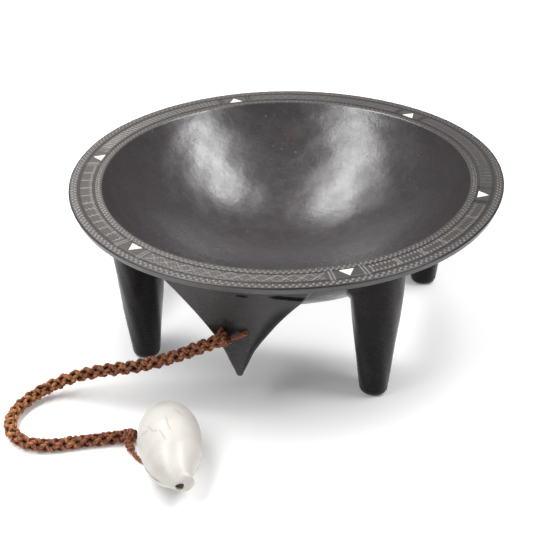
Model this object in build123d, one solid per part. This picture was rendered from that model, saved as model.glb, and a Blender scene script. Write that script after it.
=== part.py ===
from build123d import *
from math import asin, cos, pi, radians, sin, sqrt, tan
import os

# One-piece carved kava bowl on four legs, with shell inlays in its rim and a pierced lug
# that carries a braided coir cord with an egg cowrie tied to its far end.
# Millimetres. The origin is on the ground under the bowl's axis, +Z is up, the lug is on -Y.

# Bowl and rim
RIM_OUTER_R = 200.0
RIM_INNER_R = 170.0
RIM_TOP_Z = 145.0
RIM_EDGE_HEIGHT = 6.5
RIM_ROOT_Z = 135.0
RIM_EDGE_ROUND = 1.2
RIM_EDGE_UNDERCUT = 2.0
BOWL_DEPTH = 88.0
BOWL_WALL = 13.0
BOWL_R = (RIM_INNER_R**2 + BOWL_DEPTH**2) / (2 * BOWL_DEPTH)
BOWL_CENTRE_Z = RIM_TOP_Z - BOWL_DEPTH + BOWL_R
BOWL_OUTER_R = BOWL_R + BOWL_WALL

# Concentric lines cut in the rim
RING_RADII = (190.75, 176.75)
RING_WIDTH = 1.2
RING_DEPTH = 0.5

# Legs: upright cones with a slight swelling and a rounded foot, each at its own radius
# and azimuth, as the carver left them
LEG_PLACES = ((149.6, -136.3), (157.0, -46.8), (147.6, 33.7), (151.0, 129.0))
LEG_FLAT_R = 7.5
LEG_FOOT_R = 12.8
LEG_FOOT_Z = 6.5
LEG_MID_R = 19.6
LEG_MID_Z = 68.0
LEG_TOP_R = 26.0
LEG_TOP_Z = 136.0

# Suspension lug: a triangular flange with concave sides, following the bowl's curve
LUG_TIP_Z = 28.0
LUG_TIP_ROUND = 4.5
LUG_MID_HALF_WIDTH = 23.5
LUG_MID_Z = 83.0
LUG_TOP_HALF_WIDTH = 64.5
LUG_TOP_Z = 131.0
LUG_FACE_R_TIP = 165.0
LUG_FACE_R_TOP = 187.0
LUG_BACK_R = 158.0
LUG_HOLE_R = 3.0
LUG_HOLE_X = 10.5
LUG_HOLE_Z = 87.0

# Shell inlays, flush with the rim
INLAY_COUNT = 6
INLAY_BASE_R = 178.0
INLAY_APEX_R = 188.0
INLAY_BASE_WIDTH = 13.0
INLAY_THICKNESS = 2.0
INLAY_GLUE_GAP = 0.1

# Sennit cord: the corners of its route, from the lug to the ground and round to the shell
CORD_D = 11.5
CORD_ROUTE = [
    (-2.0, -186.0, 89.5),
    (-28.5, -180.5, 72.5),
    (-57.0, -178.5, 56.0),
    (-88.0, -177.5, 40.0),
    (-120.0, -177.0, 29.0),
    (-147.0, -177.5, 19.0),
    (-167.5, -185.0, 11.0),
    (-183.0, -202.0, 6.5),
    (-188.5, -225.0, 5.75),
    (-182.0, -246.5, 5.75),
    (-164.5, -260.0, 5.75),
    (-142.0, -260.5, 5.75),
    (-119.0, -249.0, 5.75),
    (-96.5, -240.5, 5.75),
    (-75.5, -231.5, 5.75),
]

# Thin strands: one through the lug's two holes, one from the braid into the shell
STRAND_D = 4.0
LUG_LOOP_ROUTE = [
    (-3.0, -185.5, 88.5),
    (LUG_HOLE_X, -185.0, LUG_HOLE_Z),
    (LUG_HOLE_X, -150.0, LUG_HOLE_Z),
    (-LUG_HOLE_X, -150.0, LUG_HOLE_Z),
    (-LUG_HOLE_X, -181.5, LUG_HOLE_Z),
]

# Cowrie shell, lying on the ground with its slit underneath
COWRIE_CENTRE = (-32.0, -259.0)
COWRIE_HEADING = 116.0
COWRIE_LENGTH = 98.0
COWRIE_WIDTH = 57.0
COWRIE_HEIGHT = 47.0
COWRIE_WALL = 3.5
COWRIE_FLAT = 1.0
COWRIE_SLIT_WIDTH = 9.0
COWRIE_SLIT_LENGTH = 66.0
COWRIE_SLIT_LEFT = 14.0
COWRIE_CANAL_R = 3.0
# Its outline, as shares of half the length and half the width, from the near beak to the far one
COWRIE_PROFILE = [
    (-1.0, 0.17),
    (-0.9, 0.27),
    (-0.72, 0.56),
    (-0.4, 0.86),
    (0.1, 1.0),
    (0.52, 0.88),
    (0.78, 0.56),
    (0.92, 0.27),
    (1.0, 0.18),
]

# The knot inside the shell, on the upright axis that the shell turns about
KNOT_ALONG = 6.0
KNOT_R = 5.5
KNOT_Z = 16.0


def cowrie_point(along, left):
    """A ground point from its place along the shell, towards its far end, and to its left."""
    a = radians(COWRIE_HEADING)
    x, y = COWRIE_CENTRE
    return x + along * cos(a) - left * sin(a), y + along * sin(a) + left * cos(a)


KNOT_X, KNOT_Y = cowrie_point(KNOT_ALONG, COWRIE_SLIT_LEFT)
TIE_ROUTE = [
    (-82.0, -235.0, 5.0),
    (-80.5, -244.5, 3.0),
    (-71.0, -252.5, 2.1),
    (-59.5, -256.5, 2.1),
    (KNOT_X, KNOT_Y, 2.1),
    (KNOT_X, KNOT_Y, KNOT_Z),
]


def outer_bowl_r(z):
    """The radius of the bowl's outside at a height."""
    return sqrt(BOWL_OUTER_R**2 - (BOWL_CENTRE_Z - z) ** 2)


def ball(radius):
    """A ball about the bowl's own centre of curvature."""
    return Pos(0, 0, BOWL_CENTRE_Z) * Sphere(radius)


def bowl_and_rim():
    """The turned shape: a spherical bowl with a flat rim that carries two cut lines."""
    edge_z = RIM_TOP_Z - RIM_EDGE_HEIGHT
    edge_r = RIM_OUTER_R - RIM_EDGE_UNDERCUT
    root_r = outer_bowl_r(RIM_ROOT_Z)
    half = asin(root_r / BOWL_OUTER_R) / 2
    outside_mid = (BOWL_OUTER_R * sin(half), BOWL_CENTRE_Z - BOWL_OUTER_R * cos(half))
    half = asin(RIM_INNER_R / BOWL_R) / 2
    inside_mid = (BOWL_R * sin(half), BOWL_CENTRE_Z - BOWL_R * cos(half))
    top = [(RIM_OUTER_R - RIM_EDGE_ROUND, RIM_TOP_Z)]
    for r in RING_RADII:
        top += [
            (r + RING_WIDTH / 2, RIM_TOP_Z),
            (r, RIM_TOP_Z - RING_DEPTH),
            (r - RING_WIDTH / 2, RIM_TOP_Z),
        ]
    top.append((RIM_INNER_R, RIM_TOP_Z))
    corner = RIM_EDGE_ROUND * (1 - sqrt(0.5))
    outline = [
        ThreePointArc((0, BOWL_CENTRE_Z - BOWL_OUTER_R), outside_mid, (root_r, RIM_ROOT_Z)),
        Line((root_r, RIM_ROOT_Z), (edge_r, edge_z)),
        Line((edge_r, edge_z), (RIM_OUTER_R, RIM_TOP_Z - RIM_EDGE_ROUND)),
        ThreePointArc(
            (RIM_OUTER_R, RIM_TOP_Z - RIM_EDGE_ROUND),
            (RIM_OUTER_R - corner, RIM_TOP_Z - corner),
            (RIM_OUTER_R - RIM_EDGE_ROUND, RIM_TOP_Z),
        ),
        Polyline(*top),
        ThreePointArc((RIM_INNER_R, RIM_TOP_Z), inside_mid, (0, BOWL_CENTRE_Z - BOWL_R)),
        Line((0, BOWL_CENTRE_Z - BOWL_R), (0, BOWL_CENTRE_Z - BOWL_OUTER_R)),
    ]
    return revolve(Plane.XZ * make_face(outline), Axis.Z)


def leg(at_r, azimuth):
    """One leg, cut back to the middle of the bowl's wall."""
    foot_mid = (LEG_FOOT_R - 1.9, 1.9)
    outline = [
        Line((0, 0), (LEG_FLAT_R, 0)),
        ThreePointArc((LEG_FLAT_R, 0), foot_mid, (LEG_FOOT_R, LEG_FOOT_Z)),
        ThreePointArc((LEG_FOOT_R, LEG_FOOT_Z), (LEG_MID_R, LEG_MID_Z), (LEG_TOP_R, LEG_TOP_Z)),
        Line((LEG_TOP_R, LEG_TOP_Z), (0, LEG_TOP_Z)),
        Line((0, LEG_TOP_Z), (0, 0)),
    ]
    cone = revolve(Plane.XZ * make_face(outline), Axis.Z)
    a = radians(azimuth)
    cone = Pos(at_r * cos(a), at_r * sin(a), 0) * cone
    return cone - ball(BOWL_R + BOWL_WALL / 2)


def lug():
    """The pierced lug under the rim."""
    tip, mid, top = (
        (0, LUG_TIP_Z),
        (LUG_MID_HALF_WIDTH, LUG_MID_Z),
        (LUG_TOP_HALF_WIDTH, LUG_TOP_Z),
    )
    other_mid, other_top = (-mid[0], mid[1]), (-top[0], top[1])
    root_z = RIM_TOP_Z - RIM_EDGE_HEIGHT / 2
    outline = [
        ThreePointArc(tip, mid, top),
        Polyline(top, (top[0], root_z), (-top[0], root_z), other_top),
        ThreePointArc(other_top, other_mid, tip),
    ]
    front = make_face(outline)
    front = fillet(front.vertices().sort_by(Axis.Y)[0], LUG_TIP_ROUND)
    slab = extrude(Plane.XZ * front, amount=RIM_OUTER_R)
    height = root_z - LUG_TIP_Z
    cone = Pos(0, 0, LUG_TIP_Z + height / 2) * Cone(LUG_FACE_R_TIP, LUG_FACE_R_TOP, height)
    body = (slab & cone) - Cylinder(LUG_BACK_R, 4 * RIM_TOP_Z)
    return body - ball(BOWL_R + BOWL_WALL / 2)


def inlay_outline(gap):
    """A triangle with its base towards the bowl and its point outwards, larger by a gap."""
    grown_base = INLAY_BASE_R - gap
    grown_apex = INLAY_APEX_R + 2 * gap
    half = INLAY_BASE_WIDTH / 2 + 2 * gap
    return make_face(Polyline((grown_base, -half), (grown_apex, 0), (grown_base, half), close=True))


def inlay(index, gap=0.0):
    """One inlay, or with a gap the pocket that it is glued into."""
    height = INLAY_THICKNESS + gap
    prism = extrude(inlay_outline(gap), amount=height)
    return Rot(0, 0, index * 360 / INLAY_COUNT) * Pos(0, 0, RIM_TOP_Z - INLAY_THICKNESS) * prism


def carved_bowl():
    """Bowl, rim, legs and lug, all cut from one block of wood."""
    body = bowl_and_rim()
    for at_r, azimuth in LEG_PLACES:
        body += leg(at_r, azimuth)
    body += lug()
    for side in (-1, 1):
        hole = Rot(90, 0, 0) * Cylinder(LUG_HOLE_R, RIM_OUTER_R - LUG_BACK_R + 10)
        body -= Pos(side * LUG_HOLE_X, -(RIM_OUTER_R + LUG_BACK_R) / 2, LUG_HOLE_Z) * hole
    for index in range(INLAY_COUNT):
        body -= inlay(index, INLAY_GLUE_GAP)
    return body


def arc_radii(route):
    """For each corner of a route, the radius that its two runs allow."""
    points = [Vector(*p) for p in route]
    radii = []
    for before, here, after in zip(points, points[1:], points[2:]):
        turn = (here - before).get_angle(after - here)
        shorter = min((here - before).length, (after - here).length)
        radii.append(0.45 * shorter / tan(radians(turn) / 2))
    return radii


def tube(name, route, diameter):
    """A round cord along straight runs joined by arcs, checked against its own length."""
    radii = arc_radii(route)
    path = FilletPolyline(*route, radius=radii)
    section = Plane(origin=path @ 0, z_dir=path % 0) * Circle(diameter / 2)
    body = sweep(section, path=path)
    expected = pi * diameter**2 / 4 * path.length
    print(name, "length", round(path.length, 1), "volume share", round(body.volume / expected, 4))
    print(name, "arc radii", [round(r, 1) for r in radii])
    return body


def cowrie_section():
    """Half of the shell's wall, cut through the beaks, with a canal along the axis."""
    a, b = COWRIE_LENGTH / 2, COWRIE_WIDTH / 2
    outside = [(a * along, b * out) for along, out in COWRIE_PROFILE]
    inside = [(0.9 * x, r - COWRIE_WALL) for x, r in outside[1:-1]]
    inside = [(-0.9 * a, COWRIE_CANAL_R)] + inside[1:-1] + [(0.9 * a, COWRIE_CANAL_R)]
    return make_face(
        [
            Spline(*outside),
            Polyline(outside[-1], (a, COWRIE_CANAL_R), inside[-1]),
            Spline(*inside),
            Polyline(inside[0], (-a, COWRIE_CANAL_R), outside[0]),
        ]
    )


def cowrie_shell():
    """The hollow shell, with its slit, the canals at its ends and a slightly flat base."""
    round_shell = revolve(cowrie_section(), Axis.X)
    slit = extrude(SlotOverall(COWRIE_SLIT_LENGTH, COWRIE_SLIT_WIDTH), amount=-COWRIE_WIDTH)
    round_shell -= Pos(0, COWRIE_SLIT_LEFT, 0) * slit
    body = scale(round_shell, by=(1, 1, COWRIE_HEIGHT / COWRIE_WIDTH))
    body = Pos(0, 0, COWRIE_HEIGHT / 2 - COWRIE_FLAT) * body
    body -= Pos(0, 0, -COWRIE_FLAT) * Box(COWRIE_LENGTH, COWRIE_WIDTH, 2 * COWRIE_FLAT)
    return Pos(*COWRIE_CENTRE, 0) * Rot(0, 0, COWRIE_HEADING) * body


def shell_tie():
    """The strand from the braid into the shell, and the knot that it ends in."""
    return tube("shell_tie", TIE_ROUTE, STRAND_D) + Pos(KNOT_X, KNOT_Y, KNOT_Z) * Sphere(KNOT_R)


def write(name, body):
    body.label = name
    export_step(body, f"parts/{name}.step")


os.makedirs("parts", exist_ok=True)
write("carved_bowl", carved_bowl())
for number in range(INLAY_COUNT):
    write(f"rim_inlay_{number + 1}", inlay(number))
write("sennit_cord", tube("sennit_cord", CORD_ROUTE, CORD_D))
write("lug_loop", tube("lug_loop", LUG_LOOP_ROUTE, STRAND_D))
write("shell_tie", shell_tie())
write("cowrie_shell", cowrie_shell())
print("shell turns about", round(KNOT_X, 2), round(KNOT_Y, 2))
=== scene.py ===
"""The looks of a carved wooden kava bowl: wood, shell inlays, a braided coir cord and its cowrie.

Lengths are millimetres until new_piece scales them to Blender's metres. The frame is the CAD's:
the origin is on the ground under the bowl's axis, +Z is up and the pierced lug is on -Y.
"""
import math

import bpy
import numpy as np
from mathutils import Matrix, Vector


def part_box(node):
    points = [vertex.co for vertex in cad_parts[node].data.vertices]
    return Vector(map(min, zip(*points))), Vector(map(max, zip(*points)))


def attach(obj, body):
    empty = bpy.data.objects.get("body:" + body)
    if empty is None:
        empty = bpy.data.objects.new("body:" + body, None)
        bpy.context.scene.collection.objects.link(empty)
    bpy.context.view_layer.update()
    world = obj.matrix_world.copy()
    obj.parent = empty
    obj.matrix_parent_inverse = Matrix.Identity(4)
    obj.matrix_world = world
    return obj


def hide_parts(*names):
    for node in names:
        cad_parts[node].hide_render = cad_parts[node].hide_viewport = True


MM = 0.001
SEED = 11
TURN = 2 * math.pi

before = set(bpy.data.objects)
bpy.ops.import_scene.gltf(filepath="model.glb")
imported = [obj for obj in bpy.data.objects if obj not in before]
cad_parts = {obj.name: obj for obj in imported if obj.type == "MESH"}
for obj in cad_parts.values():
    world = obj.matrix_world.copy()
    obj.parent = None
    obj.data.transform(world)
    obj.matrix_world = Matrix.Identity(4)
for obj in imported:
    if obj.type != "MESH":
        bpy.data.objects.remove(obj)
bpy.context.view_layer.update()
BOWL_HIGH = Vector(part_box("carved_bowl")[1]) / MM

# Bowl and rim, as in the CAD
RIM_OUTER_R = BOWL_HIGH.x
RIM_TOP_Z = BOWL_HIGH.z
RIM_INNER_R = 170.0
RIM_EDGE_HEIGHT = 6.5
RIM_EDGE_UNDERCUT = 2.0
RIM_ROOT_Z = 135.0
BOWL_DEPTH = 88.0
BOWL_WALL = 13.0
BOWL_R = (RIM_INNER_R**2 + BOWL_DEPTH**2) / (2 * BOWL_DEPTH)
BOWL_CENTRE_Z = RIM_TOP_Z - BOWL_DEPTH + BOWL_R
BOWL_OUTER_R = BOWL_R + BOWL_WALL
MID_WALL_R = BOWL_R + BOWL_WALL / 2

# The rim is a little out of round: waves per turn, height in mm, and azimuth of the first crest
RIM_WAVES = ((1, 1.1, 56.0), (2, 0.3, 67.5), (3, 1.3, 31.7), (4, 0.35, -44.5), (5, 0.4, 32.8))

# Carving on the rim
COARSE_COLUMNS = 228
FINE_PER_COARSE = 8
RELIEF_ROWS = 45
RELIEF_OUTER_R = 198.6
RELIEF_INNER_R = 171.0
NOTCHES_ROUND = 228
OUTER_BORDER = (192.8, 195.2, 197.6)
INNER_BORDER = (171.5, 173.6, 175.7)
LINE_RADII = (191.4, 190.1, 177.4, 176.1)
BAND = (178.3, 189.3)
SECTOR_DEG = 60.0
PLAIN_FROM_DEG = 25.6
NOTCH_DEPTH = 0.9
LINE_DEPTH = 0.6
# Where the rim's top gets the most painted light
PAINTED_LIGHT_AZIMUTH = 190.0
# Where the cuts get the strongest painted highlight
HIGHLIGHT_AZIMUTH = -110.0

# Legs
LEG_PLACES = ((149.6, -136.3), (157.0, -46.8), (147.6, 33.7), (151.0, 129.0))
LEG_FLAT_R = 7.5
LEG_FOOT_R = 12.8
LEG_FOOT_Z = 6.5
LEG_MID_R = 19.6
LEG_MID_Z = 68.0
LEG_TOP_R = 26.0
LEG_TOP_Z = 136.0
LEG_FILLET = 4.0

# Lug
LUG_TIP_Z = 34.0
LUG_ARC_Z = 28.0
LUG_MID = (23.5, 83.0)
LUG_TOP = (66.5, 131.0)
LUG_FLARE = 5.0
LUG_ROOT_Z = 140.0
LUG_TIP_X = -0.6
LUG_TIP_SWELL = 1.6
LUG_FULLER = 3.5
LUG_FACE_R = ((28.0, 165.0), (141.75, 187.0))
LUG_BACK_R = 158.0
LUG_EDGE_ROUND = 3.5
LUG_HOLE_R = 3.0
LUG_HOLE_X = 10.5
LUG_HOLE_Z = 87.0
LUG_DRILL_Y = (-205, -182.5, -150)
LUG_LEDGE_DEPTH = 2.4
LUG_LEDGE_Z = 127.5
LUG_SLIT_DEPTH = 2.5
LUG_SLIT_Z = 126.8

# Inlays
INLAY_COUNT = 6
INLAY_BASE_R = 178.0
INLAY_APEX_R = 188.0
INLAY_HALF_BASE = 6.5
INLAY_CORNER = 0.7
# Where the gap starts and ends, outwards from the inlay's edge
INLAY_GAP = (-0.45, 0.5)
# Slices of an inlay from below: its size, and the height above the rim's top
INLAY_SLICES = ((1, -2.0), (1, -0.2), (0.975, 0.04), (0.93, 0.12), (0.6, 0.2), (0.25, 0.22))

# Braided cord
CORD_ROUTE = (
    (-3.0, -182.6, 84.5),
    (-28.5, -180.5, 69.5),
    (-57.0, -178.5, 52.5),
    (-88.0, -177.5, 38.0),
    (-120.0, -177.0, 29.0),
    (-147.0, -177.5, 19.0),
    (-167.5, -185.0, 11.0),
    (-183.0, -202.0, 6.5),
    (-188.5, -225.0, 5.75),
    (-182.0, -246.5, 5.75),
    (-164.5, -260.0, 5.75),
    (-142.0, -260.5, 5.75),
    (-119.0, -249.0, 5.75),
    (-96.5, -239.5, 5.75),
    (-73.5, -229.0, 5.75),
)
BRAID_PITCH = 33.0
BRAID_MID_R = 3.15
BRAID_WEAVE = 1.15
STRANDS_EACH_WAY = 3
PLY_R = 1.28
PLY_OFFSET = 0.92
PLY_PITCH = 8.5
PLY_SIDES = 8
HAIR_COUNT = 520

# Cowrie, lying on its slit
COWRIE_CENTRE = (-33.0, -258.5)
COWRIE_HEADING = 112.6
COWRIE_LENGTH = 100.0
COWRIE_WIDTH = 54.0
COWRIE_HEIGHT = 49.0
COWRIE_WALL = 4.2
COWRIE_BEAK = 5.5
COWRIE_STATIONS = 190
COWRIE_ARC = 220
# The slit's middle and half its width, in degrees round the shell
COWRIE_SLIT = (-62.0, 11.0)
# Places along the shell, -1 to 1, and its radius there as a share of half its width
COWRIE_KNOTS = (-1.0, -0.93, -0.84, -0.72, -0.4, 0.1, 0.52, 0.78, 0.9, 0.95, 1.0)
COWRIE_SHARES = (0.26, 0.32, 0.46, 0.58, 0.84, 0.99, 0.90, 0.70, 0.42, 0.33, 0.24)
KNOT_PLACE = (-47.2, -259.7)
KNOT_Z = 16.0
KNOT_R = 5.5
# Creases in the shell's back: places along it, -1 to 1, and angles round it
CREASES = (
    ((0.10, 51), (-0.05, 58), (-0.10, 66)),
    ((0.03, 34), (0.01, 49)),
    ((-0.10, 71), (-0.32, 80)),
    ((0.36, 109), (0.25, 118)),
    ((0.40, 104), (0.33, 113)),
    ((0.16, 87), (0.00, 89), (-0.12, 92)),
)

# Camera: the photograph's view, solved from the rim's circles and the inlays
CAMERA_AZIMUTH = 14.65
CAMERA_ELEVATION = 31.01
CAMERA_ROLL = -1.09
CAMERA_AT = (0.2526, -1.00723, 0.66197)
CAMERA_LENS = 82.11

FLOOR_REACH = 15.0


# ---- Mesh helpers


def add_object(name, data):
    """An object in the scene with the given data."""
    added = bpy.data.objects.new(name, data)
    bpy.context.collection.objects.link(added)
    return added


def new_piece(name, points, face_sets, material, body, attributes=None):
    """A mesh object from points in mm and arrays of faces, each array of one face size."""
    mesh = bpy.data.meshes.new(name)
    face_sets = [np.asarray(faces, dtype=np.int64) for faces in face_sets if len(faces)]
    loops = np.concatenate([faces.ravel() for faces in face_sets])
    sizes = np.concatenate([np.full(len(faces), faces.shape[1]) for faces in face_sets])
    mesh.vertices.add(len(points))
    mesh.vertices.foreach_set("co", (np.asarray(points) * MM).astype(np.float32).ravel())
    mesh.loops.add(len(loops))
    mesh.loops.foreach_set("vertex_index", loops.astype(np.int32))
    mesh.polygons.add(len(sizes))
    starts = np.concatenate(([0], np.cumsum(sizes)[:-1]))
    mesh.polygons.foreach_set("loop_start", starts.astype(np.int32))
    mesh.update(calc_edges=True)
    for key, values in (attributes or {}).items():
        layer = mesh.attributes.new(key, "FLOAT", "POINT")
        layer.data.foreach_set("value", np.asarray(values, dtype=np.float32))
    mesh.polygons.foreach_set("use_smooth", np.ones(len(sizes), dtype=bool))
    mesh.materials.append(material)
    piece = add_object(name, mesh)
    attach(piece, body)
    return piece


class Islands:
    """Closed surfaces gathered into one mesh, with a value per point for each attribute."""

    def __init__(self, *attribute_names):
        self.points = []
        self.faces = {}
        self.values = {key: [] for key in attribute_names}
        self.count = 0

    def add(self, points, face_sets, **values):
        points = np.asarray(points, dtype=float)
        for faces in face_sets:
            faces = np.asarray(faces, dtype=np.int64)
            if len(faces):
                self.faces.setdefault(faces.shape[1], []).append(faces + self.count)
        for key, gathered in self.values.items():
            gathered.append(np.broadcast_to(values.get(key, 0.0), len(points)))
        self.points.append(points)
        self.count += len(points)

    def piece(self, name, material, body, slot):
        faces = [np.concatenate(group) for group in self.faces.values()]
        values = {key: np.concatenate(gathered) for key, gathered in self.values.items()}
        points = np.concatenate(self.points)
        return new_piece(name, points, faces, material, body, values)


def ring_quads(rings, columns, first=0):
    """Quads between consecutive closed rings of points, each of the same number of columns."""
    row, column = np.meshgrid(np.arange(rings - 1), np.arange(columns), indexing="ij")
    after = (column + 1) % columns
    corners = (
        row * columns + column,
        row * columns + after,
        (row + 1) * columns + after,
        (row + 1) * columns + column,
    )
    return first + np.stack(corners, -1).reshape(-1, 4)


def capped_rings(rings):
    """Points and faces of a closed surface: stacked rings with a fan at each end."""
    rings = np.asarray(rings, dtype=float)
    count, columns = rings.shape[:2]
    points = np.concatenate((rings.reshape(-1, 3), [rings[0].mean(0), rings[-1].mean(0)]))
    column = np.arange(columns)
    after = (column + 1) % columns
    last = (count - 1) * columns
    start_fan = np.stack((np.full(columns, count * columns), after, column), -1)
    end_fan = np.stack((np.full(columns, count * columns + 1), last + column, last + after), -1)
    return points, [ring_quads(count, columns), np.concatenate((start_fan, end_fan))]


def smooth_path(name, route, spacing):
    """Points read from the route's NURBS spline, evenly spaced, in mm."""
    curve = bpy.data.curves.new(name, "CURVE")
    curve.dimensions = "3D"
    curve.resolution_u = 32
    spline = curve.splines.new("NURBS")
    spline.points.add(len(route) - 1)
    for point, place in zip(spline.points, route):
        point.co = (place[0] * MM, place[1] * MM, place[2] * MM, 1.0)
    spline.order_u = 3
    spline.use_endpoint_u = True
    holder = add_object(name, curve)
    line = bpy.data.meshes.new_from_object(holder)
    read = np.array([tuple(vertex.co) for vertex in line.vertices]) / MM
    bpy.data.objects.remove(holder)
    bpy.data.curves.remove(curve)
    bpy.data.meshes.remove(line)
    along = path_lengths(read)
    steps = np.linspace(0, along[-1], max(3, round(along[-1] / spacing) + 1))
    return np.stack([np.interp(steps, along, read[:, axis]) for axis in range(3)], -1)


def path_lengths(points):
    """The distance along a line of points, at each point."""
    runs = np.linalg.norm(np.diff(points, axis=0), axis=1)
    return np.concatenate(([0.0], np.cumsum(runs)))


def path_frames(points):
    """Two unit vectors across a line at each point, which don't twist along it."""
    ahead = np.gradient(points, axis=0)
    ahead /= np.linalg.norm(ahead, axis=1)[:, None]
    start = np.cross(ahead[0], (0.0, 0.0, 1.0))
    if np.linalg.norm(start) < 0.1:
        start = np.cross(ahead[0], (1.0, 0.0, 0.0))
    side = np.empty_like(points)
    side[0] = start / np.linalg.norm(start)
    for index in range(1, len(points)):
        carried = side[index - 1] - ahead[index] * (side[index - 1] @ ahead[index])
        side[index] = carried / np.linalg.norm(carried)
    return side, np.cross(ahead, side)


def tube_rings(points, radius, sides):
    """Rings of a tube along a line, whose radius may vary."""
    side, over = path_frames(points)
    angles = np.arange(sides) * TURN / sides
    radius = np.broadcast_to(radius, len(points))[:, None, None]
    across = np.cos(angles)[None, :, None] * side[:, None]
    up = np.sin(angles)[None, :, None] * over[:, None]
    return points[:, None] + radius * (across + up)


def add_plies(
    islands, line, ply_r=PLY_R, offset=PLY_OFFSET, start_turn=0.0, tone=0.5, core=None, deep=0.0
):
    """A strand of two plies twisted round each other along a line.

    Where a core line is given, points within 5.9 mm of it darken with painted shade, fully so at 3.5
    mm.
    """
    side, over = path_frames(line)
    along = path_lengths(line)
    ends = np.minimum(along, along[-1] - along)
    fade = np.clip(0.45 + ends / 2.5, 0.45, 1.0)
    for ply in range(2):
        turn = TURN * (along / PLY_PITCH + ply / 2 + start_turn)
        centre = line + offset * (np.cos(turn)[:, None] * side + np.sin(turn)[:, None] * over)
        points, faces = capped_rings(tube_rings(centre, ply_r * fade, PLY_SIDES))
        along_points = np.append(np.repeat(along, PLY_SIDES), (0.0, along[-1]))
        around = np.tile(np.arange(PLY_SIDES) / PLY_SIDES, len(line))
        around = np.append(around, (0.0, 0.0))
        values = {"tone": tone, "along": along_points * MM, "around": around, "deep": deep}
        if core is not None:
            near = np.append(np.repeat(core, PLY_SIDES, axis=0), (core[0], core[-1]), axis=0)
            away = np.linalg.norm(points - near, axis=1)
            values["deep"] = np.clip((5.9 - away) / 2.4, 0, 1)
        islands.add(points, faces, ply=start_turn + ply * 0.37, **values)


# ---- Materials


def add_node(tree, kind, inputs=None, **settings):
    """A shader node with its inputs set, by name or index, to values or linked sockets."""
    node = tree.nodes.new(kind)
    for key, value in settings.items():
        setattr(node, key, value)
    for key, value in (inputs or {}).items():
        if isinstance(value, bpy.types.NodeSocket):
            tree.links.new(value, node.inputs[key])
        else:
            node.inputs[key].default_value = value
    return node


def new_material(name, **sockets):
    """A material with a Principled shader, whose constant sockets are set directly."""
    material = bpy.data.materials.new(name)
    material.use_nodes = True
    tree = material.node_tree
    shader = tree.nodes["Principled BSDF"]
    for key, value in sockets.items():
        shader.inputs[key.replace("_", " ")].default_value = value
    return material, tree, shader


def drive(tree, shader, **sockets):
    """Links the shader's inputs, named with underscores, to the sockets that drive them."""
    for key, value in sockets.items():
        tree.links.new(value, shader.inputs[key.replace("_", " ")])


def noise(tree, vector, scale, detail=4.0, roughness=0.55, distortion=0.0):
    """Noise from about 0 to 1."""
    inputs = {"Vector": vector, "Scale": scale, "Detail": detail, "Roughness": roughness}
    inputs["Distortion"] = distortion
    return add_node(tree, "ShaderNodeTexNoise", inputs).outputs["Fac"]


def stretched(tree, vector, scale, rotation=(0.0, 0.0, 0.0)):
    """Texture coordinates scaled and turned, for grain, scratches and fibres."""
    inputs = {"Vector": vector, "Scale": scale, "Rotation": rotation}
    return add_node(tree, "ShaderNodeMapping", inputs).outputs["Vector"]


def remap(tree, value, low, high, to_low=0.0, to_high=1.0):
    """A value moved from one range to another, and held within it."""
    inputs = {"Value": value, "From Min": low, "From Max": high}
    inputs.update({"To Min": to_low, "To Max": to_high})
    return add_node(tree, "ShaderNodeMapRange", inputs).outputs["Result"]


def math_node(tree, operation, first, second):
    """The result of a Math node."""
    inputs = {0: first, 1: second}
    return add_node(tree, "ShaderNodeMath", inputs, operation=operation).outputs["Value"]


def mix_colour(tree, factor, first, second):
    """The first colour where the factor is 0 and the second where it is 1."""
    inputs = {0: factor, 6: first, 7: second}
    return add_node(tree, "ShaderNodeMix", inputs, data_type="RGBA").outputs[2]


def ramp(tree, factor, stops):
    """A colour read from stops, each a position and a colour."""
    node = add_node(tree, "ShaderNodeValToRGB", {"Fac": factor})
    elements = node.color_ramp.elements
    while len(elements) < len(stops):
        elements.new(0.5)
    for element, (position, colour) in zip(elements, stops):
        element.position = position
        element.color = (*colour, 1.0)
    return node.outputs["Color"]


def attribute(tree, name):
    """A value stored at the mesh's points."""
    return add_node(tree, "ShaderNodeAttribute", attribute_name=name).outputs["Fac"]


def bump(tree, height, strength, distance, normal=None):
    """A normal that follows a height, over another normal if one is given."""
    inputs = {"Height": height, "Strength": strength, "Distance": distance}
    if normal is not None:
        inputs["Normal"] = normal
    return add_node(tree, "ShaderNodeBump", inputs).outputs["Normal"]


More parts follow.
